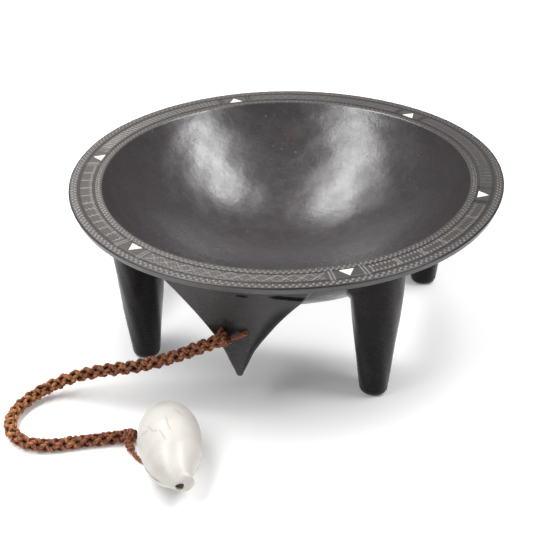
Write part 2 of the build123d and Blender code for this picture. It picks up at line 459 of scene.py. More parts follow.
def wood_material():
    """Dark stained hardwood: grain, reddish wear, scratches and pores, dusty carving, and painted
    light and shade.
    """
    material, tree, shader = new_material("dark_wood_detail", Specular_IOR_Level=0.75)
    place = add_node(tree, "ShaderNodeTexCoord").outputs["Object"]
    grain = noise(tree, stretched(tree, place, (14.0, 210.0, 210.0)), 3.0, 6.0, 0.62, 0.4)
    broad = noise(tree, place, 11.0, 3.0, 0.5, 0.3)
    patch = noise(tree, place, 23.0, 5.0, 0.6, 0.6)
    dark = ramp(tree, grain, ((0.25, (0.0040, 0.0036, 0.0039)), (0.75, (0.0090, 0.0080, 0.0084))))
    # The inside's lighter oiled tone also stands in for the light on the interior, and the outside's
    # darker tone for its shade
    oiled_and_lit = ramp(tree, grain, ((0.25, (0.034, 0.0300, 0.0315)), (0.75, (0.053, 0.0465, 0.0485))))
    dark = mix_colour(tree, attribute(tree, "inside"), dark, oiled_and_lit)
    warm = mix_colour(tree, 0.4, dark, (0.070, 0.034, 0.025, 1.0))
    reddish = mix_colour(tree, remap(tree, patch, 0.52, 0.74), dark, warm)
    stained = mix_colour(tree, remap(tree, broad, 0.35, 0.65, 0.0, 0.75), dark, reddish)
    # The rim's top is lighter: wear, and a painted sheen
    top = attribute(tree, "rim")
    worn_and_sheen = ramp(tree, grain, ((0.2, (0.060, 0.053, 0.050)), (0.8, (0.100, 0.089, 0.083))))
    surface = mix_colour(tree, top, stained, worn_and_sheen)
    cut = attribute(tree, "cut")
    dust = noise(tree, place, 420.0, 3.0)
    dust_and_highlight = math_node(tree, "MULTIPLY", cut, remap(tree, dust, 0.3, 0.7, 0.5, 1.0))
    # Painted shade: near black in the carved lines, along the rim's outer edge and down the lug's
    # right flank
    surface = mix_colour(tree, attribute(tree, "groove"), surface, (0.009, 0.008, 0.008, 1.0))
    # Pale dust in the cuts, with a painted highlight that is strongest towards the front
    carved = mix_colour(tree, dust_and_highlight, surface, (0.38, 0.355, 0.33, 1.0))
    scratch_place = stretched(tree, place, (16.0, 760.0, 760.0), (0.3, 0.2, 0.9))
    scratch = remap(tree, noise(tree, scratch_place, 1.6, 2.0, 0.5), 0.735, 0.80)
    other_place = stretched(tree, place, (900.0, 20.0, 500.0), (0.1, 0.5, 0.35))
    other = remap(tree, noise(tree, other_place, 1.3, 2.0, 0.5), 0.75, 0.81)
    marks = math_node(tree, "MAXIMUM", scratch, other)
    marks = math_node(tree, "MULTIPLY", marks, remap(tree, broad, 0.45, 0.7, 0.0, 0.55))
    marked = mix_colour(tree, marks, carved, (0.26, 0.24, 0.22, 1.0))
    gloss = remap(tree, noise(tree, place, 60.0, 5.0, 0.65), 0.3, 0.7, 0.22, 0.33)
    rough = math_node(tree, "ADD", gloss, math_node(tree, "MULTIPLY", cut, 0.35))
    rough = math_node(tree, "ADD", rough, math_node(tree, "MULTIPLY", top, 0.10))
    polish = math_node(tree, "MAXIMUM", attribute(tree, "inside"), top)
    polish = mix_colour(tree, polish, (0.12, 0.11, 0.12, 1.0), (1.0, 1.0, 1.0, 1.0))
    tool_marks = noise(tree, place, 90.0, 4.0, 0.6, 0.4)
    normal = bump(tree, tool_marks, 0.3, 0.0008)
    normal = bump(tree, grain, 0.08, 0.0003, normal)
    pores = noise(tree, stretched(tree, place, (260.0, 1500.0, 1500.0)), 1.0, 3.0, 0.6)
    normal = bump(tree, pores, 0.1, 0.0002, normal)
    pits = remap(tree, noise(tree, place, 430.0, 2.0, 0.5), 0.70, 0.76)
    normal = bump(tree, pits, 0.35, -0.0004, normal)
    drive(tree, shader, Base_Color=marked, Roughness=rough, Specular_Tint=polish, Normal=normal)
    return material


def inlay_material():
    """Polished cream shell with a faint growth-line pattern."""
    material, tree, shader = new_material(
        "inlay_shell_detail", Roughness=0.28, Specular_IOR_Level=0.5
    )
    place = add_node(tree, "ShaderNodeTexCoord").outputs["Object"]
    lines = noise(tree, stretched(tree, place, (300.0, 900.0, 300.0)), 1.0, 3.0, 0.5)
    colour = ramp(tree, lines, ((0.3, (0.70, 0.66, 0.57)), (0.7, (0.86, 0.84, 0.78))))
    drive(tree, shader, Base_Color=colour, Normal=bump(tree, lines, 0.1, 0.0002))
    return material


def coir_material():
    """Coconut fibre: fine hairs along each ply, with painted shade between the plies."""
    material, tree, shader = new_material(
        "coir_detail",
        Specular_IOR_Level=0.25,
        Sheen_Weight=0.08,
        Sheen_Roughness=0.5,
        Sheen_Tint=(0.9, 0.6, 0.4, 1.0),
    )
    place = add_node(tree, "ShaderNodeTexCoord").outputs["Object"]
    axes = {"X": "along", "Y": "around", "Z": "ply"}
    axes = {axis: attribute(tree, name) for axis, name in axes.items()}
    fibre_place = add_node(tree, "ShaderNodeCombineXYZ", axes).outputs["Vector"]
    fibres = noise(tree, stretched(tree, fibre_place, (260.0, 7.0, 9.0)), 1.0, 5.0, 0.7, 0.5)
    blotch = noise(tree, place, 75.0, 3.0, 0.55)
    stops = (0.25, 0.52, 0.75)
    brown = ((0.050, 0.013, 0.008), (0.30, 0.098, 0.052), (0.62, 0.31, 0.17))
    tan = ((0.110, 0.034, 0.011), (0.56, 0.218, 0.076), (0.82, 0.45, 0.19))
    brown, tan = (ramp(tree, fibres, tuple(zip(stops, colours))) for colours in (brown, tan))
    tone = math_node(tree, "ADD", attribute(tree, "tone"), remap(tree, blotch, 0.3, 0.7, -0.3, 0.3))
    lobes = noise(tree, place, 280.0, 2.0, 0.5)
    tone = math_node(tree, "ADD", tone, remap(tree, lobes, 0.3, 0.7, -0.4, 0.4))
    colour = mix_colour(tree, remap(tree, tone, 0.2, 0.9), brown, tan)
    # Painted shade between the plies and on the strands at the lug
    deep = math_node(tree, "POWER", attribute(tree, "deep"), 1.4)
    colour = mix_colour(tree, deep, colour, (0.018, 0.007, 0.005, 1.0))
    rough = remap(tree, fibres, 0.2, 0.8, 0.85, 0.6)
    drive(tree, shader, Base_Color=colour, Roughness=rough, Normal=bump(tree, fibres, 0.7, 0.0005))
    return material


def cowrie_material():
    """White satin shell with faint clouding, hairline wrinkles, and painted shade in its groove and
    creases.
    """
    material, tree, shader = new_material(
        "cowrie_detail",
        Specular_IOR_Level=0.32,
        Coat_Weight=0.12,
        Coat_Roughness=0.25,
        Subsurface_Weight=0.12,
        Subsurface_Scale=0.004,
    )
    place = add_node(tree, "ShaderNodeTexCoord").outputs["Object"]
    cloud = noise(tree, place, 34.0, 4.0, 0.5, 0.5)
    white = ramp(tree, cloud, ((0.3, (0.575, 0.545, 0.50)), (0.7, (0.675, 0.65, 0.61))))
    inner = mix_colour(tree, attribute(tree, "inside"), white, (0.42, 0.34, 0.20, 1.0))
    cells = {"Vector": place, "Scale": 46.0}
    cells = add_node(tree, "ShaderNodeTexVoronoi", cells, feature="DISTANCE_TO_EDGE")
    crack = cells.outputs["Distance"]
    hairline = remap(tree, crack, 0.0, 0.012, 1.0, 0.0)
    some = remap(tree, noise(tree, place, 28.0, 2.0), 0.56, 0.66)
    wrinkle = math_node(tree, "MULTIPLY", hairline, some)
    # Darker along the hairline wrinkles, and painted shade along the shell's groove and creases
    stained = math_node(tree, "MULTIPLY", wrinkle, 0.35)
    stained = math_node(tree, "MAXIMUM", stained, attribute(tree, "crease_shade"))
    colour = mix_colour(tree, stained, inner, (0.20, 0.16, 0.11, 1.0))
    rough = remap(tree, noise(tree, place, 90.0, 4.0), 0.3, 0.7, 0.32, 0.46)
    normal = bump(tree, cloud, 0.12, 0.002)
    normal = bump(tree, wrinkle, 0.3, -0.0006, normal)
    drive(tree, shader, Base_Color=colour, Roughness=rough, Normal=normal)
    return material


WOOD = wood_material()
INLAY = inlay_material()
COIR = coir_material()
SHELL = cowrie_material()


# ---- Cords


def braid():
    """A round braid of six two-ply strands, three each way, each passing over and under."""
    path = smooth_path("cord_line", CORD_ROUTE, 1.0)
    along = path_lengths(path)
    side, over = path_frames(path)
    ends = np.minimum(along, along[-1] - along)
    gather = np.clip(0.62 + ends / 12, 0.62, 1.0)
    # Warmest where the cord bends round at the left, darkest by the lug
    share = along / along[-1]
    bend_tone = np.exp(-(((share - 0.56) / 0.2) ** 2))
    islands = Islands("tone", "along", "around", "ply", "deep")
    rng = np.random.default_rng(SEED)
    for way in (1, -1):
        for strand in range(STRANDS_EACH_WAY):
            drift = 0.17 * np.sin(along / rng.uniform(9, 21) + rng.uniform(0, TURN))
            swell = 1 + 0.1 * np.sin(along / rng.uniform(3, 7) + rng.uniform(0, TURN))
            turn = TURN * (way * along / BRAID_PITCH + strand / STRANDS_EACH_WAY) + drift
            weave = way * BRAID_WEAVE * np.cos(STRANDS_EACH_WAY * TURN * along / BRAID_PITCH)
            reach = (BRAID_MID_R * gather + weave)[:, None]
            line = path + reach * (np.cos(turn)[:, None] * side + np.sin(turn)[:, None] * over)
            tone = 0.15 + 0.6 * bend_tone + rng.uniform(-0.12, 0.12)
            tone = np.append(np.repeat(tone, PLY_SIDES), (tone[0], tone[-1]))
            add_plies(islands, line, PLY_R * swell, PLY_OFFSET, rng.uniform(0, 1), tone, path)
    add_hairs(islands, path, side, over, rng)
    piece = islands.piece("sennit_braid", COIR, "bowl", "coir")
    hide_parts("sennit_cord")
    return piece, path


def add_hairs(islands, path, side, over, rng):
    """Loose fibres that stand off the braid, rooted 4.6 mm from its middle."""
    for _ in range(HAIR_COUNT):
        index = rng.integers(6, len(path) - 6)
        angle = rng.uniform(0, TURN)
        out = math.cos(angle) * side[index] + math.sin(angle) * over[index]
        ahead = path[index + 3] - path[index - 3]
        ahead /= np.linalg.norm(ahead)
        lean = rng.normal(0, 1, 3) * 0.35 + rng.choice((-1, 1)) * ahead * rng.uniform(0.4, 1.4)
        length = rng.uniform(1.2, 2.8)
        root = path[index] + out * 4.6
        middle = root + (out + 0.5 * lean) * length * 0.5
        tip = middle + (0.35 * out + lean) * length * 0.5
        line = np.array((root, middle, tip))
        line[:, 2] = np.maximum(line[:, 2], 0.4)
        points, faces = capped_rings(tube_rings(line, np.array((0.11, 0.09, 0.04)), 3))
        islands.add(points, faces, tone=0.75, along=rng.uniform(0, 1), around=0.5, ply=0.5)


def wrap_round(path, start, turns, radius, lead=2.6):
    """A line that winds round a path from an index along it."""
    side, over = path_frames(path)
    count = int(turns * 26)
    share = np.linspace(0, 1, count)
    index = start + share * turns * lead
    low = np.floor(index).astype(int)
    part = (index - low)[:, None]
    centre = path[low] * (1 - part) + path[low + 1] * part
    turn = TURN * turns * share
    return centre + radius * (np.cos(turn)[:, None] * side[low] + np.sin(turn)[:, None] * over[low])


def lug_loop(path):
    """The strand through the lug's two holes, wound round the braid's end."""
    back_y = -LUG_BACK_R + 8
    x, z = LUG_HOLE_X, LUG_HOLE_Z
    hole = ((x, -173.0, z), (x, -166.0, z), (x, -154.0, z), (x - 3, back_y, z + 0.5))
    other_hole = [(-hole_x, y, hole_z) for hole_x, y, hole_z in reversed(hole)]
    through = (
        (-6.0, -182.6, 82.6),
        (0.0, -180.4, 82.4),
        (5.2, -179.2, 84.6),
        (x - 0.8, -178.8, z - 0.3),
        *hole,
        *other_hole,
        (-x - 0.3, -180.0, z + 1.2),
        (-x - 1.5, -187.0, z),
        (-x - 3.0, -189.6, z - 6.0),
    )
    islands = Islands("tone", "along", "around", "ply", "deep")
    # Both strands get an even painted shade
    add_plies(islands, smooth_path("loop_line", through, 0.8), 1.15, 1.0, 0.1, 0.0, deep=0.35)
    add_plies(islands, wrap_round(path, 2, 3.0, 4.4), 1.15, 1.0, 0.3, -0.1, deep=0.42)
    piece = islands.piece("lug_strand", COIR, "bowl", "coir")
    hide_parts("lug_loop")
    return piece


def shell_tie(path):
    """The strand from the braid's end under the shell and up to the knot inside it."""
    knot_x, knot_y = KNOT_PLACE
    route = (
        (-80.5, -231.0, 6.0),
        (-79.5, -236.5, 5.2),
        (-75.5, -242.5, 4.2),
        (-70.0, -249.0, 3.2),
        (-63.5, -255.0, 2.4),
        (-55.0, -258.8, 2.2),
        (knot_x - 2, knot_y - 0.2, 2.2),
        (knot_x, knot_y, 4.5),
        (knot_x, knot_y, KNOT_Z),
    )
    islands = Islands("tone", "along", "around", "ply", "deep")
    add_plies(islands, smooth_path("tie_line", route, 0.8), 1.15, 1.0, 0.2, -0.2)
    add_plies(islands, wrap_round(path, len(path) - 12, 3.2, 4.6), 1.0, 0.9, 0.7, -0.1)
    tie = smooth_path("tie_bound", route[:5], 1.0)
    add_plies(islands, wrap_round(tie, 1, 8.0, 1.9, 2.2), 0.9, 0.8, 0.4, -0.25)
    centre = np.array((knot_x, knot_y, KNOT_Z))
    steps = 60
    turn = np.linspace(0, TURN * 1.97, steps)
    wide = KNOT_R - 2.0
    for axis in range(3):
        loop = np.zeros((steps, 3))
        loop[:, axis] = np.linspace(-1.2, 1.2, steps)
        loop[:, (axis + 1) % 3] = wide * np.cos(turn)
        loop[:, (axis + 2) % 3] = wide * np.sin(turn)
        add_plies(islands, centre + loop, 0.95, 0.85, 0.25 * axis, 0.1)
    piece = islands.piece("shell_strand", COIR, "bowl", "coir")
    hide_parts("shell_tie")
    return piece


# ---- Cowrie


def shell_place(along, left):
    """A ground point from its place along the shell, towards its far end, and to its left."""
    a = math.radians(COWRIE_HEADING)
    x, y = COWRIE_CENTRE
    return x + along * math.cos(a) - left * math.sin(a), y + along * math.sin(a) + left * math.cos(a)


def smoothstep(value, low, high):
    """0 below the low value and 1 above the high one, with a smooth rise between them."""
    share = np.clip((value - low) / (high - low), 0, 1)
    return share * share * (3 - 2 * share)


def smooth_curve(at, knots, values):
    """A curve through knots and values, read at a place, with its corners rounded off."""
    fine = np.linspace(knots[0] - 0.2, knots[-1] + 0.2, 601)
    kernel = np.hanning(33)
    padded = np.pad(np.interp(fine, knots, values), 16, "edge")
    return np.interp(at, fine, np.convolve(padded, kernel / kernel.sum(), "valid"))


def crease_marks(along, angle):
    """1 on the shell's creases, falling to 0 beside them."""
    across = angle * COWRIE_WIDTH / 2
    marks = np.zeros(np.broadcast(along, angle).shape)
    for crease in CREASES:
        places = [
            np.array((share * COWRIE_LENGTH / 2, math.radians(turn) * COWRIE_WIDTH / 2))
            for share, turn in crease
        ]
        for start, end in zip(places, places[1:]):
            run = end - start
            part = ((along - start[0]) * run[0] + (across - start[1]) * run[1]) / (run @ run)
            part = np.clip(part, 0, 1)
            off_x = along - start[0] - part * run[0]
            off_y = across - start[1] - part * run[1]
            marks = np.maximum(marks, np.exp(-(off_x**2 + off_y**2) / 0.55))
    return marks


def cowrie():
    """The shell as one rolled sheet, whose two edges roll in towards each other at the slit."""
    stations, arc = COWRIE_STATIONS, COWRIE_ARC
    half_length, half_width = COWRIE_LENGTH / 2, COWRIE_WIDTH / 2
    share = np.sin(np.linspace(-math.pi / 2, math.pi / 2, stations))[:, None]
    radius = half_width * smooth_curve(share, COWRIE_KNOTS, COWRIE_SHARES)
    slit_mid, slit_half = (math.radians(v) for v in COWRIE_SLIT)
    opening = slit_half + 0.25 * smoothstep(np.abs(share), 0.75, 1.0)
    around = np.linspace(0, 1, arc)[None, :]
    angle = slit_mid + opening + around * (TURN - 2 * opening)
    edge = np.minimum(around, 1 - around) * TURN * radius
    tooth = 0.5 + 0.5 * np.cos(share * 88.0)
    inroll = np.clip(1 - edge / 6.0, 0, 1) ** 2 * (2.4 + 1.0 * tooth) * np.minimum(1, radius / 20)
    knobs = 0.04 * np.sin(3 * angle + 1.0) * smoothstep(np.abs(share), 0.75, 0.95)
    dents = 0.006 * np.sin(2 * angle + 4 * share) + 0.004 * np.sin(5 * angle - 9 * share + 2)
    groove_at = math.radians(-7.0)
    groove_share = smoothstep(-share, 0.02, 0.2) * (1 - smoothstep(-share, 0.75, 0.9))
    off_groove = (np.mod(angle - groove_at + math.pi, TURN) - math.pi) * radius
    groove = np.exp(-((off_groove / 0.9) ** 2)) * groove_share
    beak = COWRIE_BEAK * smoothstep(-share, 0.86, 0.96) * np.clip(-np.cos(angle), 0, 1)
    creased = crease_marks(share * half_length, angle)
    outside = radius * (1 + knobs + dents) + beak - inroll - 0.7 * groove - 0.3 * creased
    near_edge = np.clip(edge / 2.5, 0.03, 1)
    rounding = np.sqrt(near_edge * (2 - near_edge))
    thickness = np.minimum(COWRIE_WALL, 0.54 * radius) * rounding + beak
    inside = outside - thickness
    # The two ends are rounded off, from 0.87 of the way to each
    end_share = np.clip((np.abs(share) - 0.87) / 0.13, 0, 1)
    outside = inside + thickness * (0.1 + 0.9 * np.sqrt(1 - end_share**2))
    around_all = np.concatenate((angle, angle[:, ::-1]), 1)
    reach = np.concatenate((outside, inside[:, ::-1]), 1)
    along = np.broadcast_to(share * half_length, reach.shape)
    left = reach * np.cos(around_all) - 3.5 * smoothstep(-share, 0.65, 1.0)
    up = reach * np.sin(around_all) * COWRIE_HEIGHT / COWRIE_WIDTH
    up = np.maximum(up + COWRIE_HEIGHT / 2 - 1.0 + 4.0 * smoothstep(share, 0.72, 1.0), 0.05)
    x, y = shell_place(along, left)
    points = np.stack((x, y, up), -1).reshape(-1, 3)
    columns = 2 * arc
    faces = ring_quads(stations, columns)
    step = np.arange(arc - 1)
    cap = np.stack((step + 1, step, columns - 1 - step, columns - 2 - step), -1)
    far_cap = cap[:, ::-1] + (stations - 1) * columns
    inside_mark = np.concatenate((np.zeros(arc), np.ones(arc)))
    inside_mark = (inside_mark * smoothstep(1 - np.abs(share), 0.0, 0.05)).ravel()
    # Painted shade along the groove and the creases
    crease_shade = np.concatenate((0.85 * groove + 0.3 * creased, np.zeros_like(groove)), 1).ravel()
    values = {"inside": inside_mark, "crease_shade": np.clip(crease_shade, 0, 1)}
    all_faces = [np.concatenate((faces, cap, far_cap))]
    piece = new_piece("egg_cowrie", points, all_faces, SHELL, "cowrie", values)
    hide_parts("cowrie_shell")
    return piece


# ---- Bowl


def sphere_z(radius, centre_r):
    """The height of the lower half of a ball about the bowl's centre of curvature."""
    return BOWL_CENTRE_Z - np.sqrt(radius**2 - centre_r**2)


def rim_wave(angle):
    """How far the rim stands out of round at an azimuth, in mm."""
    waves = (
        height * np.cos(count * (angle - math.radians(crest))) for count, height, crest in RIM_WAVES
    )
    return sum(waves)


def carved_by_hand(points):
    """Points of the bowl moved out of true: the rim's waves and the shallow tool facets."""
    x, y, z = points[:, 0], points[:, 1], points[:, 2]
    r = np.maximum(np.hypot(x, y), 1e-6)
    angle = np.arctan2(y, x)
    wave = rim_wave(angle) * smoothstep(r, 90, 172)
    facets = 0.22 * np.sin(7 * angle + z / 9) + 0.16 * np.sin(13 * angle - z / 6 + 1)
    facets = facets + 0.12 * np.sin(21 * angle + z / 4 + 2)
    facets = facets * smoothstep(r, 20, 60) * (1 - smoothstep(r, 160, 168))
    scale = (r + wave + facets) / r
    return np.stack((x * scale, y * scale, z), -1)


def strokes(value, half_width):
    """1 where a value is near a whole number, within a half width."""
    away = np.abs(value - np.round(value))
    return np.clip(1.4 - away / half_width, 0, 1)


def notch_row(r, turn, low, high, phase):
    """A row of small triangular notches, each pointing inwards."""
    share = (r - low) / (high - low)
    away = np.abs(np.mod(turn * NOTCHES_ROUND + phase, 1) - 0.5)
    inside = (share > 0) & (share < 1)
    return inside * np.clip(1.3 - away / (0.05 + 0.24 * share), 0, 1)


def band_pattern(across, sector, place):
    """The carving of the band between the lines. across is 0 to 1 outwards, place is -1 to 1."""
    within = (across > 0.02) & (across < 0.98) & (np.abs(place) < 1)
    inner_teeth = (across > 0.04) & (across < 0.26)
    outer_teeth = (across > 0.74) & (across < 0.96)
    teeth = strokes(place * 20, 0.2) * (inner_teeth | outer_teeth)
    lozenges = np.maximum(strokes(place * 6 + across, 0.05), 0.7 * strokes(place * 6 - across, 0.05))
    rows = strokes(across * 5 + 0.5, 0.26)
    spots = strokes(place * 22 + 0.5 * np.floor(across * 5), 0.24) * rows * 0.6
    frames = strokes(place * 3 + 0.04, 0.018) + strokes(place * 3 - 0.04, 0.018)
    zigzag = np.abs(np.mod(across * 3, 1) - 0.5) * 0.36
    wander = strokes(place * 6 + zigzag, 0.05) * (place > -0.15)
    panels = strokes(place * 5, 0.035) * (place < 0.05)
    ladder = strokes(place * 19, 0.24) * (np.abs(across - 0.5) < 0.44)
    slanted = strokes(place * 8 + 0.9 * across, 0.07)
    chevrons = strokes(place * 8 - 0.9 * across, 0.06) * (place > -0.2) * 0.6
    few = strokes(place * 12, 0.07) * (place < -0.55)
    patterns = (
        np.maximum(few, teeth * (place > -0.5) * 0.8),
        np.maximum(slanted, chevrons),
        ladder,
        np.maximum(np.maximum(wander, panels), teeth * inner_teeth * 0.7),
        np.maximum(lozenges, spots),
        np.maximum(np.clip(frames, 0, 1), teeth),
    )
    return within * np.choose(sector, patterns)


def rim_relief(r, angle):
    """Depth in mm, the cuts' dust and painted highlight, and the lines' painted shade, at a radius
    and an azimuth.
    """
    turn = np.mod(angle / TURN, 1)
    sector = np.minimum((turn * INLAY_COUNT).astype(int), INLAY_COUNT - 1)
    off_middle = np.mod(turn * 360, SECTOR_DEG) - SECTOR_DEG / 2
    place = off_middle / (PLAIN_FROM_DEG - 1.6)
    outer, inner = (
        notch_row(r, turn, low, middle, 0.5) + notch_row(r, turn, middle, high, 0.0)
        for low, middle, high in (OUTER_BORDER, INNER_BORDER)
    )
    lines = sum(np.clip(1.5 - np.abs(r - at) / 0.42, 0, 1) for at in LINE_RADII)
    edge_off = np.abs(np.abs(off_middle) - PLAIN_FROM_DEG)
    beside = np.clip(1.5 - np.abs(edge_off - 0.45) / 0.17, 0, 1)
    beside = beside * (r > LINE_RADII[3]) * (r < LINE_RADII[0])
    across = (r - BAND[0]) / (BAND[1] - BAND[0])
    pattern = band_pattern(across, sector, place)
    # The cuts get a painted highlight towards the front, where the marks beside the plain ends turn
    # pale instead of dark
    towards_highlight = np.cos(angle - math.radians(HIGHLIGHT_AZIMUTH))
    highlit_beside = beside * smoothstep(towards_highlight, 0.1, 0.6)
    pattern = np.maximum(pattern, 0.8 * highlit_beside)
    lines = np.clip(lines + beside - highlit_beside, 0, 1)
    pocket, gap = inlay_pocket(r, off_middle)
    depth = NOTCH_DEPTH * np.clip(outer + inner, 0, 1) + LINE_DEPTH * np.clip(lines + pattern, 0, 1)
    clear = (1 - pocket) * (1 - gap)
    highlight_strength = 0.42 + 0.58 * smoothstep(towards_highlight, -0.5, 0.7)
    cut_dust_and_highlight = np.clip(0.9 * outer + 0.62 * inner + 0.8 * pattern, 0, 1) * highlight_strength * clear
    # Painted shade in the carved lines
    groove = np.clip(0.9 * lines, 0, 1) * clear
    return depth * (1 - pocket) + 1.2 * pocket + 0.35 * gap, cut_dust_and_highlight, groove


def inlay_pocket(r, off_middle):
    """Where the rim is sunk under an inlay, and the thin gap round the inlay."""
    from_inlay = np.radians(SECTOR_DEG / 2 - np.abs(off_middle))
    outward, sideways = r * np.cos(from_inlay), r * np.sin(from_inlay)
    length = INLAY_APEX_R - INLAY_BASE_R
    slope = math.hypot(length, INLAY_HALF_BASE)
    past_side = (sideways - INLAY_HALF_BASE) * length + (outward - INLAY_BASE_R) * INLAY_HALF_BASE
    outside = np.maximum(INLAY_BASE_R - outward, past_side / slope)
    gap_from, gap_to = INLAY_GAP
    pocket = outside < gap_from
    gap = ~pocket & (outside < gap_to)
    return pocket.astype(float), gap.astype(float)


def turned_body(islands):
    """The bowl and its rim as one closed surface, fine where the rim is carved."""
    edge_z = RIM_TOP_Z - RIM_EDGE_HEIGHT
    edge_r = RIM_OUTER_R - RIM_EDGE_UNDERCUT
    root_r = math.sqrt(BOWL_OUTER_R**2 - (BOWL_CENTRE_Z - RIM_ROOT_Z) ** 2)
    out_r = root_r * np.linspace(0, 1, 42)[1:]
    outside = [(r, sphere_z(BOWL_OUTER_R, r)) for r in out_r]
    outside += [(root_r + 1.2, RIM_ROOT_Z + 0.4), (edge_r - 6, edge_z - 1.1)]
    outside += [(edge_r - 1.0, edge_z - 0.15), (edge_r, edge_z + 0.1), (edge_r + 0.3, edge_z + 0.9)]
    outside += [(RIM_OUTER_R - 0.6, RIM_TOP_Z - 2.6), (RIM_OUTER_R - 0.1, RIM_TOP_Z - 1.3)]
    outside += [(RIM_OUTER_R - 0.3, RIM_TOP_Z - 0.6), (RIM_OUTER_R - 0.8, RIM_TOP_Z - 0.1)]
    in_r = RIM_INNER_R * np.sin(np.linspace(math.pi / 2, 0, 56))[:-1]
    inside = [(RIM_INNER_R + 0.45, RIM_TOP_Z - 0.05), (RIM_INNER_R + 0.05, RIM_TOP_Z - 0.3)]
    inside += [(r, sphere_z(BOWL_R, r)) for r in (RIM_INNER_R - 0.35, RIM_INNER_R - 0.9)]
    inside += [(r, sphere_z(BOWL_R, r)) for r in in_r if r < RIM_INNER_R - 1.5]
    coarse = np.arange(COARSE_COLUMNS) * TURN / COARSE_COLUMNS
    fine_columns = COARSE_COLUMNS * FINE_PER_COARSE
    fine = np.arange(fine_columns) * TURN / fine_columns
    relief_r = np.linspace(RELIEF_OUTER_R, RELIEF_INNER_R, RELIEF_ROWS)
    grid_r, grid_angle = np.meshgrid(relief_r, fine, indexing="ij")
    depth, cut, groove = rim_relief(grid_r, grid_angle)
    depth[[0, -1]] = 0
    relief = (grid_r * np.cos(grid_angle), grid_r * np.sin(grid_angle), RIM_TOP_Z - depth)
    relief = np.stack(relief, -1).reshape(-1, 3)

    def rings(profile):
        r, z = np.array(profile).T
        x, y = r[:, None] * np.cos(coarse), r[:, None] * np.sin(coarse)
        return np.stack((x, y, np.broadcast_to(z[:, None], x.shape)), -1).reshape(-1, 3)

    ends = [(0.0, 0.0, BOWL_CENTRE_Z - radius) for radius in (BOWL_OUTER_R, BOWL_R)]
    points = np.concatenate((rings(outside), relief, rings(inside), ends))
    relief_start = len(outside) * COARSE_COLUMNS
    inside_start = relief_start + len(relief)
    poles = inside_start + len(inside) * COARSE_COLUMNS
    column = np.arange(COARSE_COLUMNS)
    after = (column + 1) % COARSE_COLUMNS
    last_out = relief_start - COARSE_COLUMNS
    last_in = poles - COARSE_COLUMNS
    low_fan = np.stack((np.full(COARSE_COLUMNS, poles), after, column), -1)
    high_fan = np.stack((np.full(COARSE_COLUMNS, poles + 1), last_in + column, last_in + after), -1)
    fine_steps = column[:, None] * FINE_PER_COARSE + np.arange(FINE_PER_COARSE + 1)
    fine_steps %= fine_columns
    outer_seam = np.concatenate(
        (last_out + column[:, None], last_out + after[:, None], relief_start + fine_steps[:, ::-1]), 1
    )
    last_relief = relief_start + (RELIEF_ROWS - 1) * fine_columns
    inner_seam = np.concatenate(
        (last_relief + fine_steps, inside_start + after[:, None], inside_start + column[:, None]), 1
    )
    faces = [
        ring_quads(len(outside), COARSE_COLUMNS),
        ring_quads(RELIEF_ROWS, fine_columns, relief_start),
        ring_quads(len(inside), COARSE_COLUMNS, inside_start),
        low_fan,
        high_fan,
        outer_seam,
        inner_seam,
    ]
    r = np.hypot(points[:, 0], points[:, 1])
    rim_top_and_painted_light = smoothstep(r, RIM_INNER_R - 0.3, RIM_INNER_R + 0.3) * (points[:, 2] > edge_z)
    # Painted light on the rim's top: paler round the left than at the right, which also raises its
    # reflection there
    turned = np.arctan2(points[:, 1], points[:, 0])
    rim_top_and_painted_light = rim_top_and_painted_light * (0.72 + 0.28 * np.cos(turned - math.radians(PAINTED_LIGHT_AZIMUTH)))
    within, cut_dust_and_highlight, dark = np.zeros((3, len(points)))
    within[inside_start:] = 1
    # The last point but one is the pole of the bowl's outside
    within[-2] = 0
    cut_dust_and_highlight[relief_start:inside_start] = cut.ravel()
    dark[relief_start:inside_start] = groove.ravel()
    # Painted shade on the rounding of the rim's outer edge
    dark[relief_start - 2 * COARSE_COLUMNS : relief_start] = 0.8
    values = {"cut": cut_dust_and_highlight, "rim": rim_top_and_painted_light, "groove": dark, "inside": within}
    islands.add(carved_by_hand(points), faces, **values)


def leg(islands, at_r, azimuth):
    """One leg: a swelling cone on a rounded foot, flaring into the bowl's underside."""
    columns, rows = 56, 44
    a = math.radians(azimuth)
    angles = np.arange(columns) * TURN / columns
    share = np.linspace(0, 1, rows)[:, None] ** 1.25

    def around(radius):
        x = at_r * math.cos(a) + radius * np.cos(angles)
        return x, at_r * math.sin(a) + radius * np.sin(angles)

    top = np.full(columns, 110.0)
    for _ in range(8):
        x, y = around(leg_radius(top) + LEG_FILLET * 0.9)
        top = np.minimum(sphere_z(MID_WALL_R + 1.5, np.hypot(x, y)), RIM_TOP_Z - 5)
    z = share * top
    carved = leg_radius(z) + 0.25 * np.sin(3 * angles + z / 23 + azimuth)
    carved = carved + 0.18 * np.sin(8 * angles + z / 12) * smoothstep(z, 5, 30)
    x, y = around(carved)
    for _ in range(3):
        under = sphere_z(BOWL_OUTER_R, np.minimum(np.hypot(x, y), 185)) - z
        near = np.clip(1 - under / LEG_FILLET, 0, 1)
        x, y = around(carved + LEG_FILLET * (1 - np.sqrt(1 - near**2)))
    points, faces = capped_rings(np.stack((x, y, z), -1))
    islands.add(points, faces)


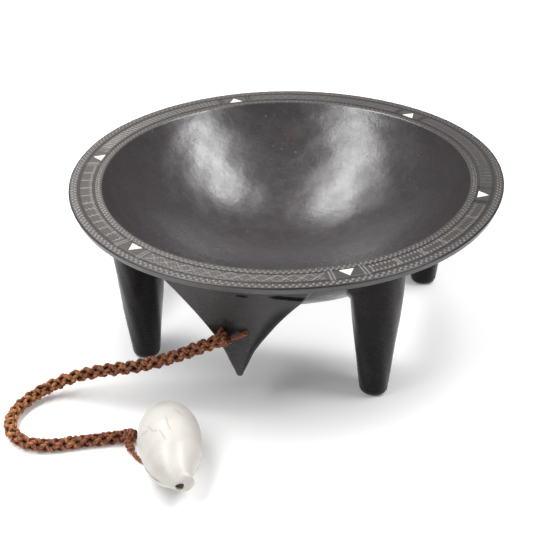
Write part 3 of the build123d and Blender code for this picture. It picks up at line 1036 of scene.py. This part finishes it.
def leg_radius(z):
    """The leg's radius at a height: a rounded foot, then an arc through three radii."""
    share = (z - LEG_FOOT_Z) / (LEG_TOP_Z - LEG_FOOT_Z)
    middle = (LEG_MID_Z - LEG_FOOT_Z) / (LEG_TOP_Z - LEG_FOOT_Z)
    straight = LEG_FOOT_R + share * (LEG_TOP_R - LEG_FOOT_R)
    at_middle = LEG_FOOT_R + middle * (LEG_TOP_R - LEG_FOOT_R)
    swell = (LEG_MID_R - at_middle) * share * (1 - share) / (middle * (1 - middle))
    foot = np.sqrt(np.clip(1 - (1 - z / LEG_FOOT_Z) ** 2, 0, 1))
    rounded = LEG_FLAT_R + (LEG_FOOT_R - LEG_FLAT_R) * foot
    return np.where(z < LEG_FOOT_Z, rounded, straight + swell)


def lug_half_width(z):
    """Half the lug's width at a height: one arc up its concave flank, and its rounded tip."""
    (mid_w, mid_z), (top_w, top_z) = LUG_MID, LUG_TOP
    tip_z = LUG_ARC_Z
    chord = np.array((top_w, top_z - tip_z))
    a2 = mid_w**2 + (mid_z - tip_z) ** 2
    b2 = chord @ chord
    d = 2 * (mid_w * chord[1] - (mid_z - tip_z) * chord[0])
    centre_w = (chord[1] * a2 - (mid_z - tip_z) * b2) / d
    centre_z = tip_z + (mid_w * b2 - chord[0] * a2) / d
    reach = math.hypot(centre_w, centre_z - tip_z)
    inside = np.clip(reach**2 - (z - centre_z) ** 2, 0, None)
    width = centre_w + np.sqrt(inside) if centre_w < 0 else centre_w - np.sqrt(inside)
    round_tip = np.sqrt(np.clip((z - LUG_TIP_Z) * (14 - (z - LUG_TIP_Z)), 0, None))
    return np.where(z < LUG_TIP_Z + 3.5, np.minimum(round_tip, width), width)


def lug_block():
    """The lug before its holes are bored, from slices between its face and its back."""
    heights = np.concatenate((
        LUG_TIP_Z + 4 * np.linspace(0, 1, 10, endpoint=False) ** 2,
        np.linspace(LUG_TIP_Z + 4, LUG_ROOT_Z, 110),
    ))
    rings = []
    (low_z, low_r), (high_z, high_r) = LUG_FACE_R
    for z in heights:
        half = max(float(lug_half_width(z)), 0.15)
        face = low_r + (high_r - low_r) * (z - low_z) / (high_z - low_z)
        wall = math.sqrt(max(MID_WALL_R**2 - (BOWL_CENTRE_Z - z) ** 2, 0))
        back = max(LUG_BACK_R, wall)
        lean = LUG_TIP_X * (1 - smoothstep(z, 34, 80))
        half += LUG_TIP_SWELL * math.exp(-(((z - 46) / 14) ** 2))
        x = half * np.sin(np.linspace(-1, 1, 65) * math.pi / 2)
        from_edge = np.clip((half - np.abs(x)) / LUG_EDGE_ROUND, 0, 1)
        drop = LUG_EDGE_ROUND * (1 - np.sqrt(1 - (1 - from_edge) ** 2)) * min(1, half / 6)
        front_y = -np.sqrt(face**2 - x**2) + drop
        spread = 1 + LUG_FLARE * smoothstep(z, 70, 132) / half
        back_x = x * spread
        back_y = -np.sqrt(np.maximum(back**2 - back_x**2, 0)) - 0.6 * drop
        back_y = np.maximum(back_y, front_y + 0.3)
        ledge_z = LUG_LEDGE_Z - 0.14 * np.clip(x - 30, 0, 30)
        under_rim = smoothstep(z - ledge_z, -1.0, 0.8) * smoothstep(x, 27, 38)
        slit = np.exp(-(((z - LUG_SLIT_Z) / 0.7) ** 2)) * smoothstep(-np.abs(x - 9), -7, -3)
        front_y = front_y + LUG_LEDGE_DEPTH * under_rim + LUG_SLIT_DEPTH * slit
        ring = np.concatenate((
            np.stack((x, front_y), -1),
            np.stack((back_x[::-1], back_y[::-1]), -1),
        ))
        fuller = smoothstep(z, 38, 90) - smoothstep(z, 118, 131)
        ring[:, 0] += lean + LUG_FULLER * fuller * np.clip(ring[:, 0] / half, 0, 1)
        rings.append(np.column_stack((ring, np.full(len(ring), z))))
    return capped_rings(rings)


def bored_lug():
    """The lug's points and faces with its two holes cut through."""
    points, face_sets = lug_block()
    block = plain_object("lug_block", points, face_sets)
    cutters = []
    turn = np.arange(28) * TURN / 28
    for side in (-1, 1):
        x = side * LUG_HOLE_X + LUG_HOLE_R * np.cos(turn)
        z = LUG_HOLE_Z + LUG_HOLE_R * np.sin(turn)
        rings = [np.stack((x, np.full_like(x, y), z), -1) for y in LUG_DRILL_Y]
        cutter = plain_object("lug_drill", *capped_rings(rings))
        modifier = block.modifiers.new("bore", "BOOLEAN")
        modifier.operation = "DIFFERENCE"
        modifier.solver = "EXACT"
        modifier.object = cutter
        cutters.append(cutter)
    bpy.context.view_layer.update()
    graph = bpy.context.evaluated_depsgraph_get()
    bored = bpy.data.meshes.new_from_object(block.evaluated_get(graph))
    places = np.array([tuple(vertex.co) for vertex in bored.vertices]) / MM
    by_size = {}
    for polygon in bored.polygons:
        by_size.setdefault(len(polygon.vertices), []).append(tuple(polygon.vertices))
    for leftover in (block, *cutters):
        bpy.data.objects.remove(leftover)
    bpy.data.meshes.remove(bored)
    return places, list(by_size.values())


def plain_object(name, points, face_sets):
    """A helper object for a boolean, which is removed afterwards."""
    mesh = bpy.data.meshes.new(name)
    faces = [tuple(int(i) for i in face) for faces in face_sets for face in faces]
    mesh.from_pydata([tuple(p) for p in np.asarray(points) * MM], [], faces)
    return add_object(name, mesh)


def carved_bowl():
    """Bowl, rim, legs and lug: one carving, whose surfaces meet inside the bowl's wall."""
    islands = Islands("cut", "rim", "groove", "inside")
    turned_body(islands)
    for at_r, azimuth in LEG_PLACES:
        leg(islands, at_r, azimuth)
    points, face_sets = bored_lug()
    # The lug's face takes part of the interior's lighter tone as painted light, lifting its
    # reflection too; its right flank gets painted shade
    across = points[:, 0] / np.maximum(lug_half_width(points[:, 2]), 4)
    flank_shade = smoothstep(across, 0.68, 0.92) * smoothstep(-points[:, 2], -122, -105)
    islands.add(points, face_sets, inside=0.48 * (1 - flank_shade), groove=0.85 * flank_shade)
    piece = islands.piece("carved_wood", WOOD, "bowl", "dark_wood")
    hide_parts("carved_bowl")
    return piece


def inlay(number):
    """One triangular shell inlay with softened edges and a slightly domed top."""
    base, half = INLAY_BASE_R, INLAY_HALF_BASE
    corners = np.array(((base, -half), (INLAY_APEX_R, 0.0), (base, half)))
    middle = corners.mean(0)
    outline = []

    def short_of(corner, other):
        return corner + (other - corner) / np.linalg.norm(other - corner) * INLAY_CORNER

    for index in range(3):
        before, here, after = corners[index - 1], corners[index], corners[(index + 1) % 3]
        start, end = short_of(here, before), short_of(here, after)
        for share in np.linspace(0, 1, 5):
            control = here * 2 * share * (1 - share)
            outline.append(start * (1 - share) ** 2 + control + end * share**2)
        side = short_of(after, here) - end
        outline += [end + side * share for share in np.linspace(0, 1, 8)[1:-1]]
    outline = np.array(outline)
    azimuth = math.radians(SECTOR_DEG * number)
    rings = []
    for size, height in INLAY_SLICES:
        flat = middle + (outline - middle) * size
        flat = flat + np.array((rim_wave(azimuth), 0.0))
        x = flat[:, 0] * math.cos(azimuth) - flat[:, 1] * math.sin(azimuth)
        y = flat[:, 0] * math.sin(azimuth) + flat[:, 1] * math.cos(azimuth)
        rings.append(np.stack((x, y, np.full(len(x), RIM_TOP_Z + height)), -1))
    points, faces = capped_rings(rings)
    piece = new_piece(f"inlay_{number + 1}", points, faces, INLAY, "bowl")
    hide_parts(f"rim_inlay_{number + 1}")
    return piece


# ---- Studio


def camera():
    """The camera at the photograph's view."""
    a, e, roll = (math.radians(v) for v in (CAMERA_AZIMUTH, CAMERA_ELEVATION, CAMERA_ROLL))
    back = Vector((math.sin(a) * math.cos(e), -math.cos(a) * math.cos(e), math.sin(e)))
    right = Vector((math.cos(a), math.sin(a), 0))
    up = back.cross(right)
    rolled_right = right * math.cos(roll) + up * math.sin(roll)
    rolled_up = up * math.cos(roll) - right * math.sin(roll)
    pose = Matrix((rolled_right, rolled_up, back)).transposed().to_4x4()
    pose.translation = Vector(CAMERA_AT)
    data = bpy.data.cameras.new("camera")
    data.lens = CAMERA_LENS
    data.sensor_width = 36.0
    eye = add_object("camera", data)
    eye.matrix_world = pose
    bpy.context.scene.camera = eye


def floor():
    """A wide pale floor, which also gives off a little light of its own."""
    mesh = bpy.data.meshes.new("studio_floor")
    reach = FLOOR_REACH
    corners = [(-reach, -reach, 0), (reach, -reach, 0), (reach, reach, 0), (-reach, reach, 0)]
    mesh.from_pydata(corners, [], [(0, 1, 2, 3)])
    material, _, _ = new_material(
        "studio_floor",
        Base_Color=(0.93, 0.93, 0.93, 1.0),
        Roughness=0.6,
        Specular_IOR_Level=0.1,
        Emission_Color=(1.0, 1.0, 1.0, 1.0),
        Emission_Strength=0.17,
    )
    mesh.materials.append(material)
    ground = add_object("studio_floor", mesh)


def area_light(name, place, size, power, turn, tilt=0.0):
    """A soft rectangular light, facing down unless tilted, and turned about the vertical."""
    data = bpy.data.lights.new(name, "AREA")
    data.shape = "RECTANGLE"
    data.size, data.size_y = size
    data.energy = power
    lamp = add_object(name, data)
    lamp.location = place
    lamp.rotation_euler = (math.radians(tilt), 0.0, math.radians(turn))


def studio():
    """Soft boxes: two overhead for the bowl's streaks, one behind, one in the bowl's shadow."""
    bpy.context.scene.view_settings.view_transform = "Standard"
    world = bpy.data.worlds.new("studio")
    world.use_nodes = True
    background = world.node_tree.nodes["Background"]
    background.inputs["Color"].default_value = (1.0, 1.0, 1.0, 1.0)
    background.inputs["Strength"].default_value = 0.12
    bpy.context.scene.world = world
    area_light("box_right", (0.92, 0.17, 1.5), (1.5, 0.38), 29.0, -39.5)
    area_light("box_left", (-0.76, -0.42, 1.5), (0.42, 2.3), 38.0, -8.0)
    area_light("fill_under_bowl", (0.01, -0.005, 0.02), (0.245, 0.13), 0.085, 0.0)
    area_light("box_behind", (-0.5, 2.2, 1.2), (2.4, 1.0), 5.0, 14.0, -60.0)


studio()
camera()
floor()
cord, cord_path = braid()
loop = lug_loop(cord_path)
tie = shell_tie(cord_path)
shell = cowrie()
carved_bowl()
for number in range(INLAY_COUNT):
    inlay(number)
